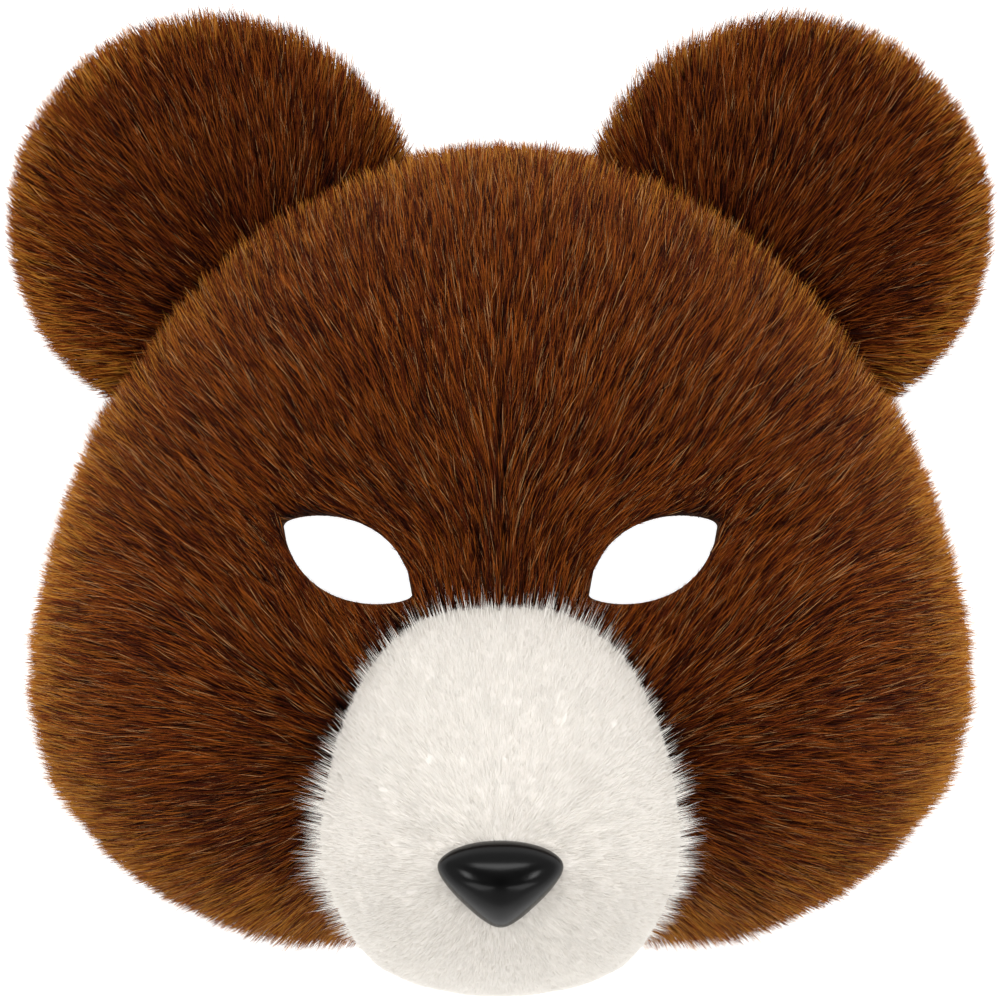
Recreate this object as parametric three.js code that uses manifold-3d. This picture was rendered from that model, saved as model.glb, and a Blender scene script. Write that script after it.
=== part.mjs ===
// A furry bear mask lying face up on its rim.
// Millimetres: +X to the viewer's right, +Y towards the ears, +Z out of the face.
import * as THREE from 'three';
import { mergeVertices } from 'three/addons/utils/BufferGeometryUtils.js';
import Module from 'manifold-3d';

const wasm = await Module();
wasm.setup();

// Clearances and walls
const GAP = 0.3; // between neighbouring pieces
const WALL = 2; // moulded wall of the face and of the muzzle
const SKIN = 1.5; // cloth backing that the pile stands on
const FUR_LIFT = 1.5; // lower edge of the face fur above the rim plane
const UNEVEN = 0.15; // locks are this much longer or shorter than the pile

// Face: a full dome over the rim, deepest at its centre
const FACE = {
  centreY: -15,
  height: 56,
  equator: -2, // the dome is widest just below the rim plane
  fullness: 0.8, // below 1 makes the sides steeper and the front flatter
  wallDetail: 6,
  furDetail: 7,
};
const PILE = { rim: 6.5, front: 4.5, lean: 4 }; // face locks: height and outward lean

// Reach of the face's fur from its centre, by angle above the horizontal
const FACE_OUTLINE = [
  { angle: -90, reach: 84 },
  { angle: -75, reach: 88 },
  { angle: -60, reach: 99.5 },
  { angle: -40, reach: 112.5 },
  { angle: -23, reach: 115.5 },
  { angle: -10, reach: 110.5 },
  { angle: 5, reach: 103.5 },
  { angle: 30, reach: 99 },
  { angle: 60, reach: 99 },
  { angle: 90, reach: 99 },
];

// Soft swells and dents of the face, mirrored to both sides
const FACE_RELIEF = [
  { x: 0, y: 4, rise: 4, spread: 22 }, // brow
  { x: 32, y: 18, rise: 3.5, spread: 24 }, // forehead side
  { x: 34, y: -14, rise: -4, spread: 16 }, // eye socket
  { x: 62, y: -52, rise: 6, spread: 30 }, // cheek
];

// Eye holes: almond openings that slant down towards the nose
const EYE = {
  x: 33.9,
  y: -12.9,
  corner: { x: 14.4, y: 8.2 },
  blunt: 0.9, // straight end of each corner
  upperPull: { x: -7, y: 13.5 },
  lowerPull: { x: 13.8, y: 10.4 },
};

// Muzzle wall, in level sections from chin (-1) to bridge (1)
const MUZZLE = { centreY: -64.8, halfHeight: 41, detail: 4, furDetail: 4, pile: 3, lean: 2.4 };
const MUZZLE_SECTIONS = [
  { level: -1, width: 53, middle: 55, depth: 46 },
  { level: -0.7, width: 43.5, middle: 56, depth: 46 },
  { level: -0.35, width: 40, middle: 57, depth: 42 },
  { level: 0, width: 36.5, middle: 56, depth: 33 },
  { level: 0.5, width: 36, middle: 53, depth: 23 },
  { level: 1, width: 38, middle: 51, depth: 17 },
];

// Nose: a rounded triangle, in level sections from its tip (-1) to its top (1)
const NOSE = { centreY: -83.3, halfHeight: 9.7, detail: 4 };
const NOSE_SECTIONS = [
  { level: -1, width: 6, middle: 92, depth: 8 },
  { level: -0.5, width: 8.7, middle: 94.5, depth: 9 },
  { level: 0, width: 12, middle: 96.5, depth: 9 },
  { level: 0.5, width: 16, middle: 97, depth: 8.5 },
  { level: 1, width: 18, middle: 97, depth: 8 },
];

// Stud that holds the nose through the muzzle wall
const POST = {
  level: -0.42, // where it crosses the muzzle wall
  radius: 2.5,
  above: 4.5, // reach into the nose, from the wall's outer face
  below: 5.2, // reach into the hollow
  flange: 5,
  flangeThick: 1.4,
  sides: 12,
};

// Ears: round pads seated on the face wall, just clear of the rim plane
const EAR = {
  x: 64.2,
  y: 62.4,
  radius: 42,
  halfThick: 7,
  middleZ: 9.5,
  edge: 0.75, // below 1 makes the rim of the pad fuller
  root: { x: 46, y: 44 }, // the pile fans out from here
  detail: 4,
};
const EAR_PILE = { edge: 6.2, front: 4, lean: 3.4 };

// Looks
const BROWN_PILE = new THREE.MeshStandardMaterial({ color: 0x6b3812, roughness: 0.85, metalness: 0 });
const WHITE_PILE = new THREE.MeshStandardMaterial({ color: 0xefeae2, roughness: 0.9, metalness: 0 });
const WALL_FELT = new THREE.MeshStandardMaterial({ color: 0x3d2a1c, roughness: 0.95, metalness: 0 });
const BLACK_GLOSS = new THREE.MeshStandardMaterial({ color: 0x121214, roughness: 0.18, metalness: 0 });
const STUD_PLASTIC = new THREE.MeshStandardMaterial({ color: 0x2a2a2c, roughness: 0.5, metalness: 0 });

// A smooth curve through one column of a table
function column(rows, key, value) {
  const keys = rows.map((row) => row[key]);
  const values = rows.map((row) => row[value]);
  const curve = new THREE.CubicInterpolant(keys, values, 1);
  return (at) => curve.evaluate(THREE.MathUtils.clamp(at, keys[0], keys.at(-1)))[0];
}

// A number from 0 to 1 that is scattered over space and equal on both sides of the mask
function scatter(point) {
  const mix = Math.round(Math.abs(point.x) * 10) * 12.9898 + Math.round(point.y * 10) * 78.233;
  const wave = Math.sin(mix + Math.round(point.z * 10) * 37.719) * 43758.5453;
  return wave - Math.floor(wave);
}

// A ball whose points are carried to the surface that pointAt describes
function bentBall(detail, pointAt) {
  const ball = new THREE.IcosahedronGeometry(1, detail);
  ball.deleteAttribute('normal');
  ball.deleteAttribute('uv');
  const geometry = mergeVertices(ball);
  const position = geometry.attributes.position;
  const direction = new THREE.Vector3();
  for (let i = 0; i < position.count; i += 1) {
    direction.fromBufferAttribute(position, i).normalize();
    const point = pointAt(direction);
    position.setXYZ(i, point.x, point.y, point.z);
  }
  return geometry;
}

// The step from a lock's base to its tip: the uneven height of the pile and a lean along the surface
function lockStep(centre, normal, outward, pile, lean) {
  const height = pile * (1 - UNEVEN + 2 * UNEVEN * scatter(centre));
  const along = outward.projectOnPlane(normal).normalize();
  return along.multiplyScalar(lean).addScaledVector(normal, height);
}

// Each triangle that lockAt gives a vector for becomes a three-sided lock of pile
function withLocks(geometry, lockAt) {
  const position = geometry.attributes.position;
  const points = Array.from(position.array);
  const faces = [];
  const corner = [new THREE.Vector3(), new THREE.Vector3(), new THREE.Vector3()];
  const triangle = new THREE.Triangle();
  const centre = new THREE.Vector3();
  const normal = new THREE.Vector3();
  for (let i = 0; i < geometry.index.count; i += 3) {
    const ends = [0, 1, 2].map((k) => geometry.index.getX(i + k));
    ends.forEach((end, k) => corner[k].fromBufferAttribute(position, end));
    triangle.set(corner[0], corner[1], corner[2]);
    triangle.getMidpoint(centre);
    triangle.getNormal(normal);
    const lock = lockAt(centre, normal);
    if (lock === null) {
      faces.push(...ends);
      continue;
    }
    const tip = points.length / 3;
    points.push(centre.x + lock.x, centre.y + lock.y, centre.z + lock.z);
    ends.forEach((end, k) => faces.push(end, ends[(k + 1) % 3], tip));
  }
  const locked = new THREE.BufferGeometry();
  locked.setAttribute('position', new THREE.Float32BufferAttribute(points, 3));
  locked.setIndex(faces);
  return locked;
}

// A closed geometry as a body that can be joined and cut
function solid(geometry) {
  geometry.deleteAttribute('normal');
  geometry.deleteAttribute('uv');
  const merged = mergeVertices(geometry);
  const vertProperties = Float32Array.from(merged.attributes.position.array);
  const triVerts = Uint32Array.from(merged.index.array);
  return new wasm.Manifold(new wasm.Mesh({ numProp: 3, vertProperties, triVerts }));
}

// A body as a named mesh of the mask
function piece(name, body, material) {
  const { vertProperties, triVerts } = body.getMesh();
  const geometry = new THREE.BufferGeometry();
  geometry.setAttribute('position', new THREE.Float32BufferAttribute(vertProperties, 3));
  geometry.setIndex(Array.from(triVerts));
  const mesh = new THREE.Mesh(geometry, material);
  mesh.name = name;
  return mesh;
}

// Everything below a height
function slabBelow(height) {
  const size = 400;
  const slab = new THREE.BoxGeometry(size, size, size);
  slab.translate(0, 0, height - size / 2);
  return solid(slab);
}

// Face surface
const faceReach = column(FACE_OUTLINE, 'angle', 'reach');
const FACE_WALL_INSET = PILE.rim + SKIN + GAP;

function faceRelief(x, y) {
  const swell = (row, side) => {
    const far = Math.hypot(x - side * row.x, y - row.y) / row.spread;
    return row.rise * Math.exp(-far * far);
  };
  const sides = (row) => (row.x === 0 ? swell(row, 1) : swell(row, 1) + swell(row, -1));
  return FACE_RELIEF.reduce((sum, row) => sum + sides(row), 0);
}

function facePoint(direction, offset) {
  const across = Math.hypot(direction.x, direction.y);
  const angle = THREE.MathUtils.radToDeg(Math.atan2(direction.y, Math.abs(direction.x)));
  const rim = faceReach(angle) - FACE_WALL_INSET + offset;
  const stretch = across > 0 ? (rim * across ** FACE.fullness) / across : 0;
  const x = direction.x * stretch;
  const y = FACE.centreY + direction.y * stretch;
  const level = Math.abs(direction.z) ** FACE.fullness;
  const rise = (FACE.height - FACE.equator + offset) * level + faceRelief(x, y) * level;
  return new THREE.Vector3(x, y, FACE.equator + Math.sign(direction.z) * rise);
}

function faceDome(offset) {
  return solid(bentBall(FACE.wallDetail, (direction) => facePoint(direction, offset)));
}

function faceLock(centre, normal) {
  if (centre.z < FACE.equator) {
    return null;
  }
  const outward = new THREE.Vector3(centre.x, centre.y - FACE.centreY, 0);
  const pile = THREE.MathUtils.lerp(PILE.rim, PILE.front, normal.z);
  return lockStep(centre, normal, outward, pile, PILE.lean * normal.z);
}

function faceFurBody() {
  const skin = bentBall(FACE.furDetail, (direction) => facePoint(direction, GAP + SKIN));
  return solid(withLocks(skin, faceLock)).subtract(faceDome(GAP)).subtract(slabBelow(FUR_LIFT));
}

function eyeHole(side) {
  const outline = new THREE.Shape();
  const { corner, blunt, upperPull, lowerPull } = EYE;
  const at = (x, y) => [side * x, y];
  outline.moveTo(...at(corner.x, corner.y + blunt));
  outline.bezierCurveTo(
    ...at(-upperPull.x, upperPull.y),
    ...at(-lowerPull.x, lowerPull.y),
    ...at(-corner.x, -corner.y),
  );
  outline.lineTo(...at(-corner.x, -corner.y - blunt));
  outline.bezierCurveTo(
    ...at(upperPull.x, -upperPull.y),
    ...at(lowerPull.x, -lowerPull.y),
    ...at(corner.x, corner.y),
  );
  outline.closePath();
  const depth = 2 * FACE.height;
  const hole = new THREE.ExtrudeGeometry(outline, { depth, bevelEnabled: false, curveSegments: 8 });
  hole.translate(side * EYE.x, EYE.y, -depth / 4);
  return solid(hole);
}

// Bodies with level sections: the muzzle and the nose
function sectionShape(sizes, rows) {
  const width = column(rows, 'level', 'width');
  const middle = column(rows, 'level', 'middle');
  const depth = column(rows, 'level', 'depth');
  return (direction, offset) => new THREE.Vector3(
    direction.x * (width(direction.y) + offset),
    sizes.centreY + direction.y * (sizes.halfHeight + offset),
    middle(direction.y) + direction.z * (depth(direction.y) + offset),
  );
}

const muzzlePoint = sectionShape(MUZZLE, MUZZLE_SECTIONS);
const nosePoint = sectionShape(NOSE, NOSE_SECTIONS);

function muzzleBall(offset) {
  return solid(bentBall(MUZZLE.detail, (direction) => muzzlePoint(direction, offset)));
}

function muzzleLock(centre, normal) {
  const outward = new THREE.Vector3(centre.x, centre.y - NOSE.centreY, 0);
  return lockStep(centre, normal, outward, MUZZLE.pile, MUZZLE.lean * Math.max(normal.z, 0));
}

function muzzleFurBody() {
  const skin = bentBall(MUZZLE.furDetail, (direction) => muzzlePoint(direction, GAP + SKIN));
  return solid(withLocks(skin, muzzleLock)).subtract(muzzleBall(GAP));
}

function noseBall(offset) {
  return solid(bentBall(NOSE.detail, (direction) => nosePoint(direction, offset)));
}

// Room that the nose takes out of the muzzle fur, down to the wall
function noseRoom() {
  const room = noseBall(GAP);
  return room.add(room.translate(0, 0, -NOSE.halfHeight / 2));
}

// Stud along the muzzle's normal behind the nose
function postBody(grow, flange) {
  const stem = POST.radius + grow;
  const low = -POST.below - grow;
  const profile = [
    new THREE.Vector2(0, low),
    new THREE.Vector2(flange + grow, low),
    new THREE.Vector2(flange + grow, -POST.below + POST.flangeThick + grow),
    new THREE.Vector2(stem, -POST.below + POST.flangeThick + grow),
    new THREE.Vector2(stem, POST.above + grow),
    new THREE.Vector2(0, POST.above + grow),
  ];
  const front = (level) => new THREE.Vector3(0, level, Math.sqrt(1 - level * level));
  const seat = muzzlePoint(front(POST.level), 0);
  const step = 0.02;
  const along = muzzlePoint(front(POST.level + step), 0).sub(muzzlePoint(front(POST.level - step), 0));
  const normal = new THREE.Vector3(0, -along.z, along.y).normalize();
  const stud = new THREE.LatheGeometry(profile, POST.sides);
  const turn = new THREE.Quaternion().setFromUnitVectors(new THREE.Vector3(0, 1, 0), normal);
  stud.applyQuaternion(turn);
  stud.translate(seat.x, seat.y, seat.z);
  return solid(stud);
}

// Ear pad
function earPoint(direction, side, wider, thicker) {
  const across = Math.hypot(direction.x, direction.y);
  const stretch = across > 0 ? ((EAR.radius + wider) * across ** EAR.edge) / across : 0;
  const level = Math.sign(direction.z) * Math.abs(direction.z) ** EAR.edge;
  return new THREE.Vector3(
    side * EAR.x + direction.x * stretch,
    EAR.y + direction.y * stretch,
    EAR.middleZ + (EAR.halfThick + thicker) * level,
  );
}

function earLock(centre, normal, side) {
  if (centre.z < EAR.middleZ - EAR.halfThick / 2) {
    return null;
  }
  normal.z = Math.max(normal.z, 0);
  const outward = new THREE.Vector3(centre.x - side * EAR.root.x, centre.y - EAR.root.y, 0);
  const pile = THREE.MathUtils.lerp(EAR_PILE.edge, EAR_PILE.front, normal.z);
  return lockStep(centre, normal, outward, pile, EAR_PILE.lean * normal.z);
}

function earBody(side) {
  const pad = bentBall(EAR.detail, (direction) => earPoint(direction, side, 0, 0));
  return solid(withLocks(pad, (centre, normal) => earLock(centre, normal, side))).subtract(faceDome(GAP));
}

// Room that an ear takes out of the face fur, down to the rim plane
function earRoom(side) {
  const wider = EAR_PILE.edge * (1 + UNEVEN) + GAP;
  const thicker = EAR_PILE.front * (1 + UNEVEN) + GAP;
  const room = solid(bentBall(EAR.detail, (direction) => earPoint(direction, side, wider, thicker)));
  return room.add(room.translate(0, 0, -EAR.halfThick));
}

// Assembly
const eyes = eyeHole(1).add(eyeHole(-1));
const ears = earRoom(1).add(earRoom(-1));
const muzzleRoom = muzzleBall(GAP + SKIN + MUZZLE.pile * (1 + UNEVEN) + GAP);

const faceWall = faceDome(0).subtract(faceDome(-WALL)).subtract(slabBelow(0));
const faceShell = faceWall.subtract(muzzleBall(GAP)).subtract(eyes);
const faceFur = faceFurBody().subtract(muzzleRoom).subtract(eyes).subtract(ears);
const muzzleWall = muzzleBall(0).subtract(muzzleBall(-WALL)).subtract(faceDome(-WALL));
const muzzleShell = muzzleWall.subtract(postBody(GAP, POST.radius));
const muzzleFur = muzzleFurBody().subtract(faceDome(GAP)).subtract(noseRoom()).subtract(eyes);
const nose = noseBall(0).subtract(muzzleBall(GAP)).subtract(postBody(GAP, POST.flange));
const nosePost = postBody(0, POST.flange);

const mask = new THREE.Group();
mask.add(piece('face_shell', faceShell, WALL_FELT));
mask.add(piece('face_fur', faceFur, BROWN_PILE));
mask.add(piece('muzzle_shell', muzzleShell, WALL_FELT));
mask.add(piece('muzzle_fur', muzzleFur, WHITE_PILE));
mask.add(piece('ear_left', earBody(-1), BROWN_PILE));
mask.add(piece('ear_right', earBody(1), BROWN_PILE));
mask.add(piece('nose', nose, BLACK_GLOSS));
mask.add(piece('nose_post', nosePost, STUD_PLASTIC));

// The origin is the middle of the mask's footprint on the rim plane
const middle = new THREE.Box3().setFromObject(mask).getCenter(new THREE.Vector3());
mask.position.set(-middle.x, -middle.y, 0);

export default mask;
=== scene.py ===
"""Looks of a furry bear mask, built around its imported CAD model.

The mask lies face up on its rim: +Z points out of the face, +Y towards the ears. The walls and the
nose stud stay as the CAD made them and get a finish. The fur is made of strands on cloth backings,
the ears of padded discs with their own pile, and the nose is a finer mesh of the same form.
Sizes are in millimetres, as in the CAD, and turn into metres where a mesh is made.
"""

import logging
import math
from dataclasses import dataclass, fields
from enum import Enum
from typing import Callable, ClassVar

import bmesh
import bpy
import numpy as np
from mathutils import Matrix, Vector
from mathutils.bvhtree import BVHTree

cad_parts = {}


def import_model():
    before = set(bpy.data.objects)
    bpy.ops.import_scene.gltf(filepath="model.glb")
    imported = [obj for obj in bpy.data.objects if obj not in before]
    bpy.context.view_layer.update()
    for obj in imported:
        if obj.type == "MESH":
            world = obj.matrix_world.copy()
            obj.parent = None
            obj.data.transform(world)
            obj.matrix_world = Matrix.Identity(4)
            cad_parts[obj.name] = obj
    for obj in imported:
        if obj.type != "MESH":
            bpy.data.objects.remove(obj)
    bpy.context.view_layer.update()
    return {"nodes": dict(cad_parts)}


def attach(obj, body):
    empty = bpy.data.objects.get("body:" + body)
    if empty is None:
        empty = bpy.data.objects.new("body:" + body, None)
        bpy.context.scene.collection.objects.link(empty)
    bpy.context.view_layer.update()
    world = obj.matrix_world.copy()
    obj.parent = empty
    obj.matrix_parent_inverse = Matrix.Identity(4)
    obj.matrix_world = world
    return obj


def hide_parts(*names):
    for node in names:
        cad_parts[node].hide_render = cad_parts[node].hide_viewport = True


LOG = logging.getLogger("bear_mask")
MM = 0.001
SEED = 41
# Least height of cloth and strands above the surface that the mask lies on.
LOWEST = 0.3
PILE_MAP = "OFBake"
DOWN = Vector((0.0, 0.0, -1.0))
Array = np.ndarray
Field = Callable[[Array], Array]


class Side(Enum):
    """A side of the mask, as someone facing it sees it."""

    LEFT = -1
    RIGHT = 1


class Slot(Enum):
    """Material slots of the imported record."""

    BROWN = "brown_pile"
    WHITE = "white_pile"
    NOSE = "nose_gloss"


def unit(vectors: Array) -> Array:
    """Scales rows to length 1.

    Args:
        vectors: An array of 3-D rows.
    Returns:
        The rows, each of length 1.
    """
    return vectors / np.maximum(np.linalg.norm(vectors, axis=-1, keepdims=True), 1e-9)


def along_surface(direction: Array, normal: Array) -> Array:
    """Turns directions into the surface.

    Args:
        direction: Wanted directions, one row each.
        normal: Unit normals of the surface at the same rows.
    Returns:
        Unit directions that lie in the surface.
    """
    return unit(direction - normal * np.sum(direction * normal, axis=1, keepdims=True))


def turned(vectors: Array, axis: Array, angle: Array) -> Array:
    """Turns rows about axes that are square to them.

    Args:
        vectors: Unit rows.
        axis: Unit axes, each square to its row.
        angle: Angles in radians.
    Returns:
        The turned rows.
    """
    return vectors * np.cos(angle)[:, None] + np.cross(axis, vectors) * np.sin(angle)[:, None]


def turned_flat(vectors: Array, angle: Array) -> Array:
    """Turns rows that lie flat, as seen from the front.

    Args:
        vectors: Rows without height.
        angle: Angles in radians.
    Returns:
        The turned rows, each of length 1.
    """
    up = np.zeros_like(vectors)
    up[:, 2] = 1.0
    return turned(unit(vectors), up, angle)


def evened(ring: Array, rounds: int) -> Array:
    """Evens out values round a closed ring.

    Args:
        ring: One row for each point.
        rounds: How often each row is mixed with its neighbours.
    Returns:
        The evened rows.
    """
    for _ in range(rounds):
        ring = 0.25 * np.roll(ring, 1, axis=0) + 0.5 * ring + 0.25 * np.roll(ring, -1, axis=0)
    return ring


def surface_of(mesh: bpy.types.Mesh) -> BVHTree:
    """Makes a tree of a mesh for finding near places.

    Args:
        mesh: The mesh.
    Returns:
        The tree, in metres.
    """
    mesh.calc_loop_triangles()
    return BVHTree.FromPolygons([vert.co for vert in mesh.vertices],
                                [tuple(part.vertices) for part in mesh.loop_triangles])


def heights_above(sheet: BVHTree, places: Array) -> Array:
    """Measures how far places lie from a sheet.

    Args:
        sheet: The sheet.
        places: Places in millimetres.
    Returns:
        Distances in millimetres, negative behind the sheet.
    """
    found = np.empty(len(places))
    for row, place in enumerate(places):
        point = Vector(place) * MM
        hit, normal, _, gap = sheet.find_nearest(point)
        found[row] = math.copysign(gap / MM, (point - hit).dot(normal))
    return found


def smooth_out(shape: bmesh.types.BMesh, verts: list, rounds: int) -> None:
    """Moves vertices half of the way to their neighbours' middle, in each round."""
    for _ in range(rounds):
        bmesh.ops.smooth_vert(shape, verts=verts, factor=0.5, use_axis_x=True, use_axis_y=True,
                              use_axis_z=True)


def mesh_of(shape: bmesh.types.BMesh, name: str) -> bpy.types.Mesh:
    """Turns a finished shape into a smooth mesh.

    Args:
        shape: The shape, which is freed.
        name: Name of the mesh.
    Returns:
        The mesh.
    """
    for face in shape.faces:
        face.smooth = True
    mesh = bpy.data.meshes.new(name)
    shape.to_mesh(mesh)
    shape.free()
    return mesh


@dataclass(frozen=True)
class Band:
    """A range over which a value eases from 0 to 1."""

    low: float
    high: float

    def ease(self, value: Array) -> Array:
        """Eases values.

        Args:
            value: Values to ease.
        Returns:
            Numbers from 0 at the low end to 1 at the high end.
        """
        t = np.clip((value - self.low) / (self.high - self.low), 0.0, 1.0)
        return t * t * (3.0 - 2.0 * t)


@dataclass(frozen=True)
class Wave:
    """A wave of a ripple: its pitch, its way across and up, and how far the phase shifts it."""

    pitch: float
    across: float
    up: float
    shift: float


@dataclass(frozen=True)
class Ripple:
    """A smooth uneven field over the front of the mask, made of two crossing pairs of waves."""

    COARSE: ClassVar[tuple] = (Wave(1.0, 0.92, 0.39, 1.0), Wave(1.0, -0.44, 0.71, 2.3))
    FINE: ClassVar[tuple] = (Wave(1.9, 0.35, 0.61, 1.7), Wave(1.7, 0.8, -0.3, -1.0))
    SHARES: ClassVar[tuple] = (0.65, 0.45)

    height: float
    span: float
    phase: float

    def at(self, x: Array, y: Array, sign: int = 1) -> Array:
        """Works out the field.

        Args:
            x: Places across.
            y: Places up.
            sign: Sign of the phase, which sets the two sides apart.
        Returns:
            Values from about minus to plus the height.
        """
        def angle(wave: Wave) -> Array:
            """Returns a wave's angle at each place."""
            pitch = math.tau / self.span * wave.pitch
            return pitch * (wave.across * x + wave.up * y) + wave.shift * (sign * self.phase)

        pairs = (self.COARSE, self.FINE)
        coarse, fine = (np.sin(angle(first)) * np.cos(angle(second)) for first, second in pairs)
        return self.height * (self.SHARES[0] * coarse + self.SHARES[1] * fine)


class Shader:
    """Builds one procedural material, node by node.

    The numbers are the places of the colour sockets on a Mix node.
    """

    FIRST_COLOUR = 6
    SECOND_COLOUR = 7
    MIXED_COLOUR = 2

    def __init__(self, name: str) -> None:
        """Starts a material whose tree holds a Principled shader and its output."""
        self.material = bpy.data.materials.new(name)
        self.material.use_nodes = True
        self.tree = self.material.node_tree
        self.surface = self.tree.nodes["Principled BSDF"]

    def node(self, kind: str, **inputs: object) -> bpy.types.Node:
        """Adds a node.

        Args:
            kind: Type name of the node.
            inputs: Values of its sockets, by name with _ for a space.
        Returns:
            The new node.
        """
        made = self.tree.nodes.new(kind)
        for name, value in inputs.items():
            made.inputs[name.replace("_", " ")].default_value = value
        return made

    def join(self, source: bpy.types.NodeSocket, target: bpy.types.NodeSocket) -> None:
        """Links two sockets."""
        self.tree.links.new(source, target)

    def set(self, **inputs: object) -> None:
        """Sets sockets of the Principled shader, by name with _ for a space."""
        for name, value in inputs.items():
            self.surface.inputs[name.replace("_", " ")].default_value = value

    def colours(self, value: bpy.types.NodeSocket, stops: tuple) -> bpy.types.NodeSocket:
        """Adds a colour ramp.

        Args:
            value: Socket that drives the ramp.
            stops: Pairs of place and linear colour.
        Returns:
            The ramp's colour socket.
        """
        made = self.node("ShaderNodeValToRGB")
        band = made.color_ramp.elements
        while len(band) < len(stops):
            band.new(0.5)
        for element, (place, colour) in zip(band, stops):
            element.position = place
            element.color = (*colour, 1.0)
        self.join(value, made.inputs["Fac"])
        return made.outputs["Color"]

    def product(self, first: bpy.types.NodeSocket, second: bpy.types.NodeSocket) -> bpy.types.NodeSocket:
        """Multiplies two colours.

        Args:
            first: One colour socket.
            second: The other colour socket.
        Returns:
            The socket of their product.
        """
        made = self.node("ShaderNodeMix")
        made.data_type = "RGBA"
        made.blend_type = "MULTIPLY"
        made.inputs["Factor"].default_value = 1.0
        self.join(first, made.inputs[self.FIRST_COLOUR])
        self.join(second, made.inputs[self.SECOND_COLOUR])
        return made.outputs[self.MIXED_COLOUR]

    def noise(self, scale: float, detail: float, roughness: float) -> bpy.types.NodeSocket:
        """Adds a noise texture on Object coordinates.

        Args:
            scale: Waves in a metre.
            detail: Octaves of the noise.
            roughness: Share of the finer octaves.
        Returns:
            The noise's value socket.
        """
        place = self.node("ShaderNodeTexCoord")
        made = self.node("ShaderNodeTexNoise", Scale=scale, Detail=detail, Roughness=roughness)
        self.join(place.outputs["Object"], made.inputs["Vector"])
        return made.outputs["Fac"]

    def bump(self, height: bpy.types.NodeSocket, strength: float, distance: float) -> None:
        """Adds a bump from a height.

        Args:
            height: Socket of the height.
            strength: Share of the bump, from 0 to 1.
            distance: Height of a full step, in metres.
        """
        made = self.node("ShaderNodeBump", Strength=strength, Distance=distance)
        self.join(height, made.inputs["Height"])
        self.join(made.outputs["Normal"], self.surface.inputs["Normal"])


@dataclass(frozen=True)
class PileFinish:
    """Finish of strands, whose map holds the shade across and the way from root to tip upwards; the strands
    are painted darker towards the root, as painted shade deep in the pile.
    """

    name: str
    shades: tuple
    root_shade: tuple
    roughness: float
    specular: float

    def material(self) -> bpy.types.Material:
        """Makes the strands' material.

        Returns:
            The material.
        """
        shader = Shader(self.name)
        place = shader.node("ShaderNodeUVMap")
        place.uv_map = PILE_MAP
        parts = shader.node("ShaderNodeSeparateXYZ")
        shader.join(place.outputs["UV"], parts.inputs["Vector"])
        shade = shader.colours(parts.outputs["X"], self.shades)
        # Painted shade: the colour darkens from tip to root, standing in for the shade deep in the pile.
        tip = shader.colours(parts.outputs["Y"], self.root_shade)
        shader.join(shader.product(shade, tip), shader.surface.inputs["Base Color"])
        shader.set(Roughness=self.roughness, Specular_IOR_Level=self.specular)
        return shader.material


@dataclass(frozen=True)
class MottledFinish:
    """Finish in two tones of mottling, with a finer bump."""

    name: str
    dark: tuple
    light: tuple
    grain: float
    height: float
    roughness: float
    specular: float
    tones: tuple
    mottle: tuple
    finer: float
    relief: tuple
    strength: float

    def material(self) -> bpy.types.Material:
        """Makes the material.

        Returns:
            The material.
        """
        shader = Shader(self.name)
        stops = tuple(zip(self.tones, (self.dark, self.light)))
        colour = shader.colours(shader.noise(self.grain, *self.mottle), stops)
        shader.join(colour, shader.surface.inputs["Base Color"])
        shader.bump(shader.noise(self.grain * self.finer, *self.relief), self.strength, self.height)
        shader.set(Roughness=self.roughness, Specular_IOR_Level=self.specular)
        return shader.material


@dataclass(frozen=True)
class FeltFinish(MottledFinish):
    """Finish of a matted cloth, with a fibrous bump."""

    roughness: float = 0.92
    specular: float = 0.25
    tones: tuple = (0.32, 0.68)
    mottle: tuple = (6.0, 0.65)
    finer: float = 2.6
    relief: tuple = (8.0, 0.7)
    strength: float = 0.6


@dataclass(frozen=True)
class PlasticFinish(MottledFinish):
    """Finish of moulded plastic, with a faint unevenness of its skin."""

    tones: tuple = (0.3, 0.7)
    mottle: tuple = (4.0, 0.5)
    finer: float = 3.0
    relief: tuple = (4.0, 0.55)
    strength: float = 0.25


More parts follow.
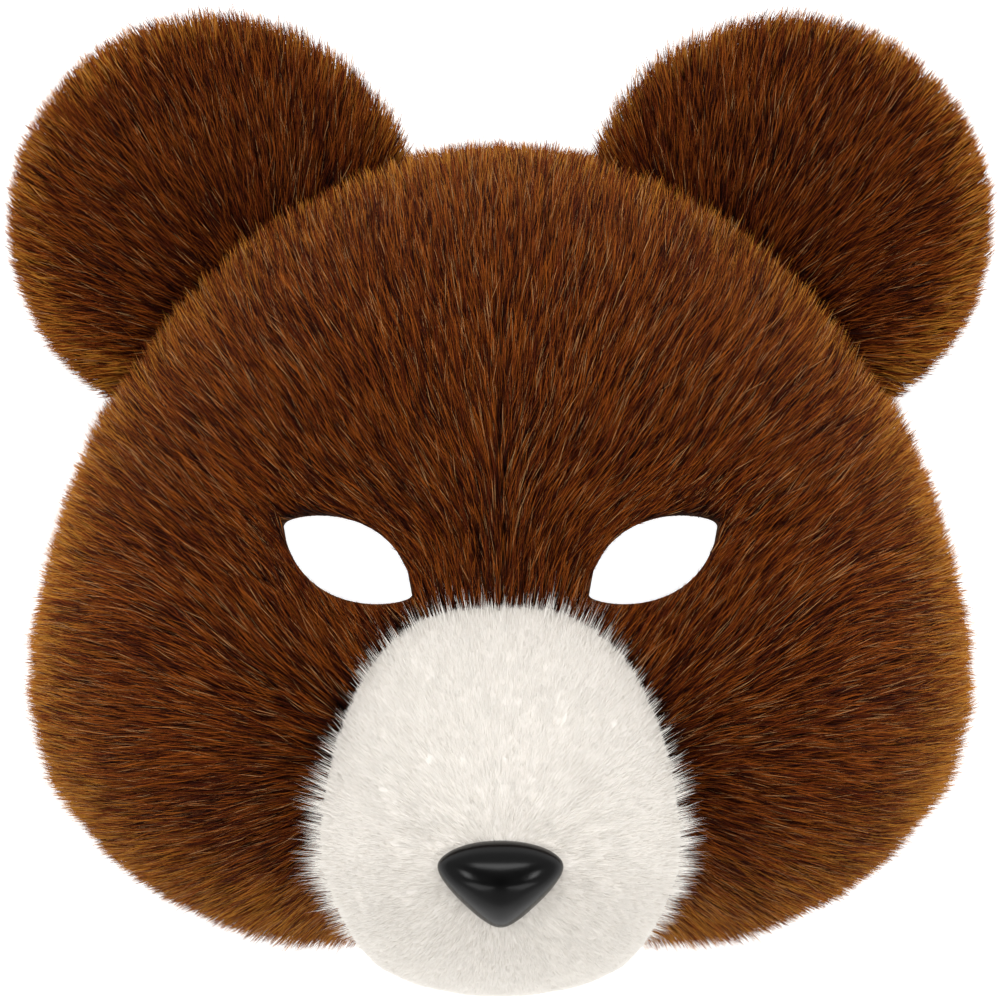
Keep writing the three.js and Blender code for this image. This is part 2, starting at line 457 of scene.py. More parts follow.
@dataclass(frozen=True)
class Finishes:
    """Every finish on the mask."""

    brown_pile: PileFinish = PileFinish(
        "brown pile",
        # The lightest stops colour the painted rim light at the edges and the painted glints.
        ((0.0, (0.012, 0.0016, 0.0003)), (0.3, (0.052, 0.007, 0.0011)), (0.55, (0.16, 0.025, 0.003)),
         (0.78, (0.36, 0.09, 0.009)), (0.92, (0.58, 0.245, 0.03)), (1.0, (0.6, 0.34, 0.16))),
        # Painted shade: darker towards the roots.
        ((0.0, (0.1, 0.08, 0.065)), (0.42, (0.42, 0.38, 0.35)), (0.88, (1.0, 1.0, 1.0))),
        roughness=0.55, specular=0.06)
    white_pile: PileFinish = PileFinish(
        "white pile",
        ((0.0, (0.73, 0.685, 0.64)), (0.5, (0.78, 0.745, 0.695)), (1.0, (0.83, 0.80, 0.75))),
        # Painted shade: a little darker towards the roots.
        ((0.0, (0.94, 0.93, 0.92)), (0.5, (1.0, 1.0, 1.0)), (1.0, (1.0, 1.0, 1.0))),
        roughness=0.6, specular=0.1)
    brown_cloth: FeltFinish = FeltFinish(
        "brown backing", (0.025, 0.009, 0.003), (0.06, 0.022, 0.006), grain=900.0, height=0.0004)
    white_cloth: FeltFinish = FeltFinish(
        "white backing", (0.74, 0.70, 0.65), (0.76, 0.72, 0.67), grain=1400.0, height=0.0001)
    wall: FeltFinish = FeltFinish(
        "wall felt", (0.05, 0.027, 0.014), (0.105, 0.058, 0.032), grain=700.0, height=0.0004)
    nose: PlasticFinish = PlasticFinish(
        "nose gloss", (0.0014, 0.0014, 0.0014), (0.00175, 0.00175, 0.00175), grain=500.0, height=0.00003,
        roughness=0.22, specular=0.13)
    stud: PlasticFinish = PlasticFinish(
        "stud plastic", (0.028, 0.028, 0.03), (0.035, 0.035, 0.0375), grain=800.0, height=0.00005,
        roughness=0.5, specular=0.4)


class Pieces:
    """Puts finished pieces into the scene."""

    @staticmethod
    def add(mesh: bpy.types.Mesh, material: bpy.types.Material, slot: Slot, node: str) -> bpy.types.Object:
        """Makes a piece of a mesh.

        Args:
            mesh: The mesh, already in its place.
            material: Its material.
            slot: The record's slot for its finish; not used.
            node: CAD node that it stands for.
        Returns:
            The piece.
        """
        piece = bpy.data.objects.new(mesh.name, mesh)
        bpy.context.scene.collection.objects.link(piece)
        mesh.materials.clear()
        mesh.materials.append(material)
        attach(piece, "root")
        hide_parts(node)
        LOG.info("%s: %d faces", piece.name, len(mesh.polygons))
        return piece

    @staticmethod
    def finish_node(node: bpy.types.Object, material: bpy.types.Material) -> None:
        """Gives a CAD node that stays its material."""
        node.data.materials.clear()
        node.data.materials.append(material)
        LOG.info("%s: finished as it is", node.name)


class Ground:
    """A surface that a pile grows on, in millimetres."""

    def __init__(self, mesh: bpy.types.Mesh) -> None:
        """Reads a mesh's triangles and smooth normals."""
        mesh.calc_loop_triangles()
        points = np.empty(len(mesh.vertices) * 3)
        normals = np.empty(len(mesh.vertices) * 3)
        corners = np.empty(len(mesh.loop_triangles) * 3, dtype=np.int32)
        mesh.vertices.foreach_get("co", points)
        mesh.vertices.foreach_get("normal", normals)
        mesh.loop_triangles.foreach_get("vertices", corners)
        self.points = points.reshape(-1, 3) / MM
        self.normals = normals.reshape(-1, 3)
        self.corners = corners.reshape(-1, 3)
        a, b, c = (self.points[self.corners[:, k]] for k in range(3))
        self.areas = 0.5 * np.linalg.norm(np.cross(b - a, c - a), axis=1)

    def scatter(self, count: int, rng: np.random.Generator, denser: Field | None) -> tuple[Array, Array]:
        """Strews places over the surface.

        Args:
            count: How many places.
            rng: Source of chance.
            denser: Gives how much denser the places lie, or None for evenly.
        Returns:
            The places and the unit normals there.
        """
        share = self.areas if denser is None else self.areas * denser(self.points[self.corners].mean(axis=1))
        pick = rng.choice(len(share), size=count, p=share / share.sum())
        first = np.sqrt(rng.random(count))
        second = rng.random(count)
        weights = np.stack([1.0 - first, first * (1.0 - second), first * second], axis=1)
        corner = self.corners[pick]
        places = np.einsum("nk,nkd->nd", weights, self.points[corner])
        return places, unit(np.einsum("nk,nkd->nd", weights, self.normals[corner]))


@dataclass
class Strands:
    """Strands of a pile, one row each, in millimetres and radians."""

    LEAST_BEND: ClassVar[float] = 1e-3
    GATHER_POWER: ClassVar[float] = 1.3
    # Painted highlights: glinting strands get a pale shade and a narrower width.
    GLINT_SHADE: ClassVar[float] = 0.98
    GLINT_WIDTH: ClassVar[float] = 0.75
    TRIM_STEPS: ClassVar[int] = 20
    SHORTEST: ClassVar[float] = 0.02
    TAPER: ClassVar[float] = 0.5
    MAP_EDGE: ClassVar[float] = 0.01
    MAP_HALF_WIDTH: ClassVar[float] = 0.004

    root: Array
    normal: Array
    flow: Array
    length: Array
    root_lift: Array
    tip_lift: Array
    pull: Array
    wave: Array
    shade: Array
    glint: Array
    width: Array
    twist: Array

    def kept(self, mask: Array) -> "Strands":
        """Returns the strands that a mask keeps."""
        return Strands(*(getattr(self, part.name)[mask] for part in fields(self)))

    def path(self, t: float) -> tuple[Array, Array]:
        """Follows every strand.

        Args:
            t: Share of the way from root to tip.
        Returns:
            The places at that share and the unit directions there.
        """
        bend = self.tip_lift - self.root_lift
        bend = np.where(np.abs(bend) < self.LEAST_BEND, self.LEAST_BEND, bend)
        angle = self.root_lift + bend * t
        rise = (np.cos(self.root_lift) - np.cos(angle)) / bend
        run = (np.sin(angle) - np.sin(self.root_lift)) / bend
        aside = np.cross(self.normal, self.flow)
        sway = np.sin(math.tau * self.wave[:, 1] * t + self.wave[:, 2]) - np.sin(self.wave[:, 2])
        place = self.root + self.length[:, None] * (self.normal * rise[:, None] + self.flow * run[:, None])
        place = place + self.pull * t ** self.GATHER_POWER + aside * (self.wave[:, 0] * sway * t)[:, None]
        heading = unit(self.normal * np.sin(angle)[:, None] + self.flow * np.cos(angle)[:, None])
        return place, heading

    def tone(self, limit: float, rise: Array, lightest: float) -> None:
        """Sets the shades: strands stay below a limit, painted rim light lightens them towards an edge, and a
        few get a painted glint.

        Args:
            limit: Lightest shade away from an edge.
            rise: How much painted rim light lightens each strand towards an edge.
            lightest: Lightest shade at an edge.
        """
        self.shade = np.minimum(np.minimum(self.shade, limit) + rise, lightest)
        # Painted glints: a few strands take a pale shade that stands in for highlights on them.
        self.shade = np.where(self.glint, self.GLINT_SHADE, self.shade)
        self.width = np.where(self.glint, self.GLINT_WIDTH * self.width, self.width)

    def cut_at(self, inside: Field) -> None:
        """Trims strands where they would enter a space that stays clear.

        Args:
            inside: Says for each place whether it lies in that space.
        """
        step = 1.0 / self.TRIM_STEPS
        share = np.ones(len(self.length))
        for t in np.linspace(1.0, step, self.TRIM_STEPS):
            share = np.where(inside(self.path(float(t))[0]), t - step, share)
        self.length = self.length * np.maximum(share, self.SHORTEST)

    def mesh(self, name: str, rows: int) -> bpy.types.Mesh:
        """Joins the strands in one mesh of narrow ribbons that run to a point.

        Args:
            name: Name of the mesh.
            rows: Rows of two vertices before the tip.
        Returns:
            The mesh, with its map of shade and length.
        """
        count = len(self.length)
        tip = 2 * rows
        verts = np.empty((count, tip + 1, 3))
        for row in range(rows):
            t = row / rows
            place, heading = self.path(t)
            flat = unit(np.cross(heading, self.normal))
            half = 0.5 * (self.width * (1.0 - self.TAPER * t ** 2))
            across = turned(flat, heading, self.twist) * half[:, None]
            verts[:, 2 * row] = place - across
            verts[:, 2 * row + 1] = place + across
        verts[:, tip] = self.path(1.0)[0]
        verts[:, :, 2] = np.maximum(verts[:, :, 2], LOWEST)
        steps = [np.array([2 * r, 2 * r + 1, 2 * r + 3, 2 * r + 2]) for r in range(rows - 1)]
        steps.append(np.array([tip - 2, tip - 1, tip]))
        pattern = np.concatenate(steps)
        loops = (np.arange(count)[:, None] * (tip + 1) + pattern[None, :]).ravel()
        starts = np.concatenate([[0], np.cumsum([len(step) for step in steps])[:-1]])
        starts = (np.arange(count)[:, None] * len(pattern) + starts[None, :]).ravel()
        mesh = bpy.data.meshes.new(name)
        mesh.vertices.add(count * (tip + 1))
        mesh.loops.add(len(loops))
        mesh.polygons.add(len(starts))
        mesh.vertices.foreach_set("co", (verts * MM).astype(np.float32).ravel())
        mesh.loops.foreach_set("vertex_index", loops.astype(np.int32))
        mesh.polygons.foreach_set("loop_start", starts.astype(np.int32))
        mesh.polygons.foreach_set("use_smooth", np.ones(len(starts), dtype=bool))
        layer = mesh.uv_layers.new(name=PILE_MAP)
        side = np.where(pattern % 2 == 0, -self.MAP_HALF_WIDTH, self.MAP_HALF_WIDTH)
        side[-1] = 0.0
        height = np.where(pattern == tip, 1.0, (pattern // 2) / rows)
        height = self.MAP_EDGE + (1.0 - 2.0 * self.MAP_EDGE) * height
        across = np.clip(self.shade, self.MAP_EDGE, 1.0 - self.MAP_EDGE)[:, None] + side[None, :]
        places = np.stack([across, np.broadcast_to(height, across.shape)], axis=2)
        layer.data.foreach_set("uv", places.astype(np.float32).ravel())
        mesh.update(calc_edges=True)
        return mesh


@dataclass(frozen=True)
class PileCut:
    """How a pile grows: strands in clumps, their length, lift, width and shade.

    The fields named own_ are a strand's own departure from its clump, and the pairs are ranges.
    """

    strands: int
    per_clump: int
    spread: float
    length: float
    uneven: float
    root_lift: float
    tip_lift: float
    width: float
    gather: float
    sway: float
    stray: float
    rows: int
    streak: float = 0.25
    # Share of strands with a painted glint.
    glint: float = 0.0
    lengths: tuple = (0.72, 1.12)
    shortest: float = 0.3
    waves: tuple = (0.4, 0.9)
    widths: tuple = (0.7, 1.25)
    twist: float = 0.6
    middle_shade: float = 0.5
    clump_lift: float = 0.65
    own_turn: float = 0.5
    own_shade: float = 0.8
    own_lift: float = 0.8

    def grow(self, ground: Ground, flow: Field, rng: np.random.Generator,
             denser: Field | None = None) -> Strands:
        """Grows strands on a surface.

        Args:
            ground: The surface.
            flow: Gives the wanted direction at places.
            rng: Source of chance.
            denser: Gives how much denser the pile is at each place.
        Returns:
            The strands, with shades about the middle one.
        """
        clumps = self.strands // self.per_clump
        middle, up = ground.scatter(clumps, rng, denser)
        lie = along_surface(flow(middle), up)
        lie = turned(lie, up, rng.normal(0.0, self.stray, clumps))
        aside = np.cross(up, lie)
        member = np.repeat(np.arange(clumps), self.per_clump)
        count = len(member)
        off = rng.normal(0.0, self.spread, (count, 2))
        shift = lie[member] * off[:, :1] + aside[member] * off[:, 1:]
        clump_tone = rng.normal(0.0, 1.0, clumps)
        clump_length = rng.normal(1.0, self.uneven, clumps)
        normal = up[member]
        heading = turned(lie[member], normal, rng.normal(0.0, self.own_turn * self.stray, count))
        length = self.length * clump_length[member] * rng.uniform(*self.lengths, count)
        wave = np.stack([rng.normal(0.0, self.sway, count), rng.uniform(*self.waves, count),
                         rng.uniform(0.0, math.tau, count)], axis=1)
        own_shade = self.own_shade * rng.normal(0.0, 1.0, count)
        root_turn = rng.normal(0.0, self.stray, count)
        own_lift = self.own_lift * rng.normal(0.0, 1.0, count)
        tip_turn = self.stray * (own_lift + self.clump_lift * clump_tone[member])
        return Strands(
            root=middle[member] + shift,
            normal=normal,
            flow=heading,
            length=np.maximum(length, self.shortest * self.length),
            root_lift=np.radians(self.root_lift) + root_turn,
            tip_lift=np.radians(self.tip_lift) + tip_turn,
            pull=-shift * self.gather,
            wave=wave,
            shade=self.middle_shade + self.streak * (clump_tone[member] + own_shade),
            glint=rng.random(count) < self.glint,
            width=self.width * rng.uniform(*self.widths, count),
            twist=rng.normal(0.0, self.twist, count),
        )


@dataclass(frozen=True)
class Skin:
    """Cloth that a pile grows on, made from the outer face of a CAD wall."""

    name: str
    core: tuple
    thickness: float
    weld: float = 0.02
    facing: float = 0.12
    smoothing: int = 3

    def of_wall(self, node: bpy.types.Object, keep: Callable[[Vector, Vector], bool],
                lift: Callable[[Vector], float]) -> bpy.types.Mesh:
        """Copies a wall's outer face, makes it finer and lifts it off.

        Args:
            node: The CAD node of the wall.
            keep: Says of a face's middle and normal whether the cloth covers it.
            lift: Gives the height above the wall for a normal.
        Returns:
            The cloth's outer sheet.
        """
        heart = Vector(self.core) * MM
        shape = bmesh.new()
        shape.from_mesh(node.data)
        bmesh.ops.remove_doubles(shape, verts=shape.verts, dist=self.weld * MM)
        shape.normal_update()
        inner = []
        for face in shape.faces:
            middle = face.calc_center_median()
            facing = (middle - heart).normalized().dot(face.normal)
            if facing < self.facing or not keep(middle / MM, face.normal):
                inner.append(face)
        bmesh.ops.delete(shape, geom=inner, context="FACES")
        wall = BVHTree.FromBMesh(shape)
        bmesh.ops.subdivide_edges(shape, edges=shape.edges, cuts=1, use_grid_fill=True)
        smooth_out(shape, [vert for vert in shape.verts if not vert.is_boundary], self.smoothing)
        shape.normal_update()
        for vert, normal in [(vert, vert.normal.copy()) for vert in shape.verts]:
            hit, outward, _, _ = wall.find_nearest(vert.co)
            sunk = max(0.0, -(vert.co - hit).dot(outward))
            vert.co += normal * (sunk + lift(normal) * MM)
            vert.co.z = max(vert.co.z, LOWEST * MM)
        return mesh_of(shape, self.name)

    def thicken(self, piece: bpy.types.Object) -> None:
        """Gives a cloth its thickness, inwards."""
        wall = piece.modifiers.new("thickness", "SOLIDIFY")
        wall.thickness = self.thickness * MM
        wall.offset = -1.0


@dataclass(frozen=True)
class EyeHole:
    """An almond eye hole, as the cloth that is turned over the wall's edge leaves it."""

    x: float = 33.83
    y: float = -12.47
    corner: tuple = (14.7, 8.1)
    outer_pull: tuple = (9.0, 11.5)
    inner_pull: tuple = (-12.0, 11.8)
    steps: int = 40
    points: int = 132
    corner_rounds: int = 8
    level_rounds: int = 6
    stride: int = 4
    outside: float = -99.0
    lap: float = 2.6
    lap_lift: float = 0.1
    swell: float = 0.3
    roll_out: float = 0.25
    roll: float = 0.2
    turn_in: float = 3.8
    above: float = 120.0
    wall_height: float = 50.0

    def lid(self) -> Array:
        """Returns points of the right eye's upper lid, from its outer to its inner corner."""
        start = np.array(self.corner)
        first = np.array(self.outer_pull)
        second = np.array(self.inner_pull)
        t = np.linspace(0.0, 1.0, self.steps)[:, None]
        outer_half = (1 - t) ** 3 * start + 3 * t * (1 - t) ** 2 * first
        return outer_half + 3 * t ** 2 * (1 - t) * second - t ** 3 * start

    def depth(self, places: Array) -> Array:
        """Measures how far places lie inside the nearer eye hole.

        Args:
            places: Places on the mask.
        Returns:
            Millimetres inside the hole's outline, measured up and down, negative outside.
        """
        across = np.abs(places[:, 0]) - self.x
        up = places[:, 1] - self.y
        lid = self.lid()[::-1]
        upper = np.interp(across, lid[:, 0], lid[:, 1], left=self.outside, right=self.outside)
        lower = -np.interp(-across, lid[:, 0], lid[:, 1], left=self.outside, right=self.outside)
        return np.minimum(upper - up, up - lower)

    def near(self, places: Array, reach: float) -> Array:
        """Tells how near places are to the nearer hole's edge.

        Args:
            places: Places on the mask.
            reach: Distance at which the value falls to 0.
        Returns:
            Numbers from 0 to 1.
        """
        gap = np.full(len(places), np.inf)
        for x, y in self.outline()[::self.stride]:
            gap = np.minimum(gap, np.hypot(np.abs(places[:, 0]) - x, places[:, 1] - y))
        return 1.0 - Band(0.0, reach).ease(gap)

    def outline(self) -> Array:
        """Returns evenly spaced points round the right eye hole, with its corners rounded."""
        lid = self.lid()
        loop = np.concatenate([lid[:-1], -lid[:-1], lid[:1]])
        way = np.concatenate([[0.0], np.cumsum(np.linalg.norm(np.diff(loop, axis=0), axis=1))])
        stops = np.linspace(0.0, way[-1], self.points, endpoint=False)
        even = np.stack([np.interp(stops, way, loop[:, axis]) for axis in range(2)], axis=1)
        return evened(even, self.corner_rounds) + np.array([self.x, self.y])

    def turn_cloth(self, mesh: bpy.types.Mesh) -> None:
        """Adds the strip of cloth that is turned over the wall's edge round each hole.

        Args:
            mesh: The cloth's outer sheet, which gets the strip.
        """
        sheet = surface_of(mesh)
        outline = self.outline()
        ahead = np.roll(outline, -1, axis=0) - np.roll(outline, 1, axis=0)
        outward = np.stack([ahead[:, 1], -ahead[:, 0]], axis=1)
        outward = outward / np.linalg.norm(ahead, axis=1, keepdims=True)
        shape = bmesh.new()
        shape.from_mesh(mesh)
        for side in Side:
            inner, outer = (self.height(sheet, side, outline + outward * out)
                            for out in (self.lap, 2.0 * self.lap))
            edge = 2.0 * inner - outer
            rows = ((self.lap, inner + self.lap_lift), (0.5 * self.lap, 0.5 * (inner + edge) + self.swell),
                    (self.roll_out, edge + self.roll), (0.0, edge - self.roll), (0.0, edge - self.turn_in))
            loops = []
            for out, level in rows:
                ring = outline + outward * out
                verts = [shape.verts.new(Vector((side.value * x, y, z)) * MM)
                         for (x, y), z in zip(ring, level)]
                loops.append([shape.edges.new(pair) for pair in zip(verts, verts[1:] + verts[:1])])
            for first, second in zip(loops, loops[1:]):
                made = bmesh.ops.bridge_loops(shape, edges=first + second)
                for face in made["faces"]:
                    face.smooth = True
                bmesh.ops.recalc_face_normals(shape, faces=made["faces"])
        bmesh.ops.triangulate(shape, faces=shape.faces)
        shape.to_mesh(mesh)
        shape.free()

    def height(self, sheet: BVHTree, side: Side, ring: Array) -> Array:
        """Measures the cloth's height under a ring of points.

        Args:
            sheet: The cloth.
            side: The eye's side.
            ring: Points of the right eye's ring.
        Returns:
            Heights, evened out round the ring.
        """
        level = np.empty(len(ring))
        for k, (x, y) in enumerate(ring):
            hit = sheet.ray_cast(Vector((side.value * x, y, self.above)) * MM, DOWN)[0]
            if hit is None:
                hit = sheet.find_nearest(Vector((side.value * x, y, self.wall_height)) * MM)[0]
            level[k] = hit.z / MM
        return evened(level, self.level_rounds)


@dataclass(frozen=True)
class Comb:
    """Lie of the pile at one place of the right half: degrees up from straight outwards."""

    across: float
    up: float
    lean: float


@dataclass
class FaceCover:
    """Brown pile over the face wall, in four fields around the middle of the face.

    Lifts are in degrees, and trims, the painted rim light and widths are shares of what they change.
    """

    skin: Skin = Skin("face_backing", core=(0.0, -15.0, -12.0), thickness=1.1)
    lift: float = 0.4
    under_facing: float = -0.2
    rim_height: float = 0.6
    hole_facing: float = 0.12
    hole_height: float = 30.0
    comb_reach: float = 11.0
    combing: tuple = (
        Comb(0, -17, 90), Comb(0, 20, 90), Comb(0, 55, 90), Comb(0, 85, 90), Comb(18, -3, 46),
        Comb(16, 18, 70), Comb(34, 22, 61), Comb(50, 28, 53), Comb(55, 48, 60), Comb(33, 52, 72),
        Comb(16, 57, 80), Comb(33, 78, 70), Comb(70, 30, 47), Comb(80, 45, 50), Comb(56, -4, 42),
        Comb(70, 8, 40), Comb(90, 1, 26), Comb(100, -13, 14), Comb(45, -22, 61), Comb(38, -31, 62),
        Comb(56, -31, 46), Comb(73, -33, 18), Comb(92, -35, 3), Comb(38, -49, 40), Comb(56, -53, 6),
        Comb(79, -53, 0), Comb(105, -55, -3), Comb(45, -67, -14), Comb(68, -67, -12), Comb(92, -72, -15),
        Comb(45, -85, -40), Comb(68, -85, -30), Comb(40, -97, -62), Comb(0, -97, -90))
    parting: Band = Band(-4.0, 4.0)
    drift: Ripple = Ripple(0.10, 40.0, 0.8)
    cut: PileCut = PileCut(strands=196000, per_clump=2, spread=0.24, length=10.5, uneven=0.12, root_lift=40.0,
                           tip_lift=12.0, width=0.18, gather=0.4, sway=0.3, stray=0.12, rows=2, glint=0.05)
    eye: EyeHole = EyeHole()
    eye_dense: float = 1.5
    eye_dense_reach: float = 6.0
    eye_reach: float = 7.0
    eye_trim: float = 0.35
    eye_lay: float = 16.0
    eye_clear: float = 0.1
    eye_darker: float = 0.06
    ear_margin: float = 1.0
    ear_height: float = 17.0
    rim: Band = Band(0.35, 0.95)
    # outer and far set where the painted rim light lightens the strands.
    outer: Band = Band(0.1, 0.8)
    jaw: Band = Band(45.0, 75.0)
    far: Band = Band(70.0, 104.0)
    corner_across: Band = Band(48.0, 66.0)
    corner_down: Band = Band(60.0, 74.0)
    rim_root_lift: float = 30.0
    rim_tip_lift: float = 34.0
    rim_trim: float = 0.34
    jaw_spare: float = 0.06
    corner_trim: float = 0.22
    rim_width: float = 0.4
    mottle: Ripple = Ripple(0.07, 30.0, 2.1)
    darker: float = 0.06
    limit: float = 0.78
    # Painted rim light: strands lighten towards the face's edge, more at the far cheeks and the jaw, standing
    # in for light through the fur there.
    rim_light: float = 0.16
    cheek_rim_light: float = 0.25
    jaw_rim_light: float = 0.16
    lightest: float = 0.92

    def backing(self, node: bpy.types.Object) -> bpy.types.Mesh:
        """Makes the cloth over the wall's outer face, without the walls of its holes.

        Args:
            node: The face wall.
        Returns:
            The cloth's outer sheet.
        """
        def covered(middle: Vector, normal: Vector) -> bool:
            """Returns whether the cloth covers a face of the wall."""
            hole_wall = abs(normal.z) < self.hole_facing and middle.z > self.hole_height
            return normal.z > self.under_facing and middle.z > self.rim_height and not hole_wall

        sheet = self.skin.of_wall(node, covered, lambda normal: self.lift)
        self.eye.turn_cloth(sheet)
        return sheet

    def flow(self, places: Array) -> Array:
        """Directions of the pile: combed up and outwards, as charted, and a little uneven.

        Args:
            places: Roots.
        Returns:
            Wanted directions.
        """
        across = np.abs(places[:, 0])
        sign = np.sign(places[:, 0])
        lie = np.zeros_like(places)
        for row in self.combing:
            gap = (across - row.across) ** 2 + (places[:, 1] - row.up) ** 2
            weight = np.exp(-gap / (2.0 * self.comb_reach ** 2))
            lie[:, 0] += weight * math.cos(math.radians(row.lean))
            lie[:, 1] += weight * math.sin(math.radians(row.lean))
        lie[:, 0] *= sign * self.parting.ease(across)
        return turned_flat(lie, self.drift.at(across, places[:, 1]) * sign)

    def pile(self, ground: Ground, ears: list["Ear"], rng: np.random.Generator) -> Strands:
        """Grows the pile and trims it at the eye holes and behind the ears.

        Args:
            ground: The backing.
            ears: The ears, under which nothing grows.
            rng: Source of chance.
        Returns:
            The strands of the whole face.
        """
        def denser(places: Array) -> Array:
            """Returns how dense the pile grows, which is more round the eye holes."""
            return 1.0 + self.eye_dense * self.eye.near(places, self.eye_dense_reach)

        hair = self.cut.grow(ground, self.flow, rng, denser)
        keep = self.eye.depth(hair.root) < 0.0
        for ear in ears:
            keep &= ~(ear.over(hair.root, self.ear_margin) & (hair.root[:, 2] < self.ear_height))
        hair = hair.kept(keep)
        across = np.abs(hair.root[:, 0])
        down = -hair.root[:, 1]
        steep = 1.0 - np.clip(hair.normal[:, 2], 0.0, 1.0)
        rim = self.rim.ease(steep)
        jaw = self.jaw.ease(down)
        corner = self.corner_across.ease(across) * self.corner_down.ease(down)
        near = self.eye.near(hair.root, self.eye_reach)
        hair.root_lift += np.radians(self.rim_root_lift) * rim
        hair.tip_lift += np.radians(self.rim_tip_lift) * rim
        hair.length *= 1.0 - (self.rim_trim - self.jaw_spare * jaw + self.corner_trim * corner) * rim
        hair.length *= 1.0 - self.eye_trim * near
        hair.root_lift -= np.radians(self.eye_lay) * near
        hair.cut_at(lambda places: self.eye.depth(places) > self.eye_clear)
        hair.shade += self.mottle.at(hair.root[:, 0], hair.root[:, 1]) - self.darker - self.eye_darker * near
        # Painted rim light: strands lighten where the wall turns away from the front, more at the far cheeks
        # and the jaw.
        rise = self.rim_light + self.cheek_rim_light * self.far.ease(across) + self.jaw_rim_light * jaw
        hair.tone(self.limit, rise * self.outer.ease(steep), self.lightest)
        hair.width *= 1.0 + self.rim_width * rim
        return hair

    def build(self, node: bpy.types.Object, ears: list["Ear"], looks: Finishes,
              rng: np.random.Generator) -> bpy.types.Mesh:
        """Makes the backing and the four fields of pile.

        Args:
            node: The face wall.
            ears: The ears.
            looks: The finishes.
            rng: Source of chance.
        Returns:
            The backing's outer sheet.
        """
        sheet = self.backing(node)
        ground = Ground(sheet)
        cloth = Pieces.add(sheet, looks.brown_cloth.material(), Slot.BROWN, "face_fur")
        self.skin.thicken(cloth)
        hair = self.pile(ground, ears, rng)
        material = looks.brown_pile.material()
        upper = hair.root[:, 1] > 0.0
        right = hair.root[:, 0] > 0.0
        parts = {"brow_left": upper & ~right, "brow_right": upper & right,
                 "cheek_left": ~upper & ~right, "cheek_right": ~upper & right}
        for name, mask in parts.items():
            mesh = hair.kept(mask).mesh("pile_" + name, self.cut.rows)
            Pieces.add(mesh, material, Slot.BROWN, "face_fur")
        return sheet


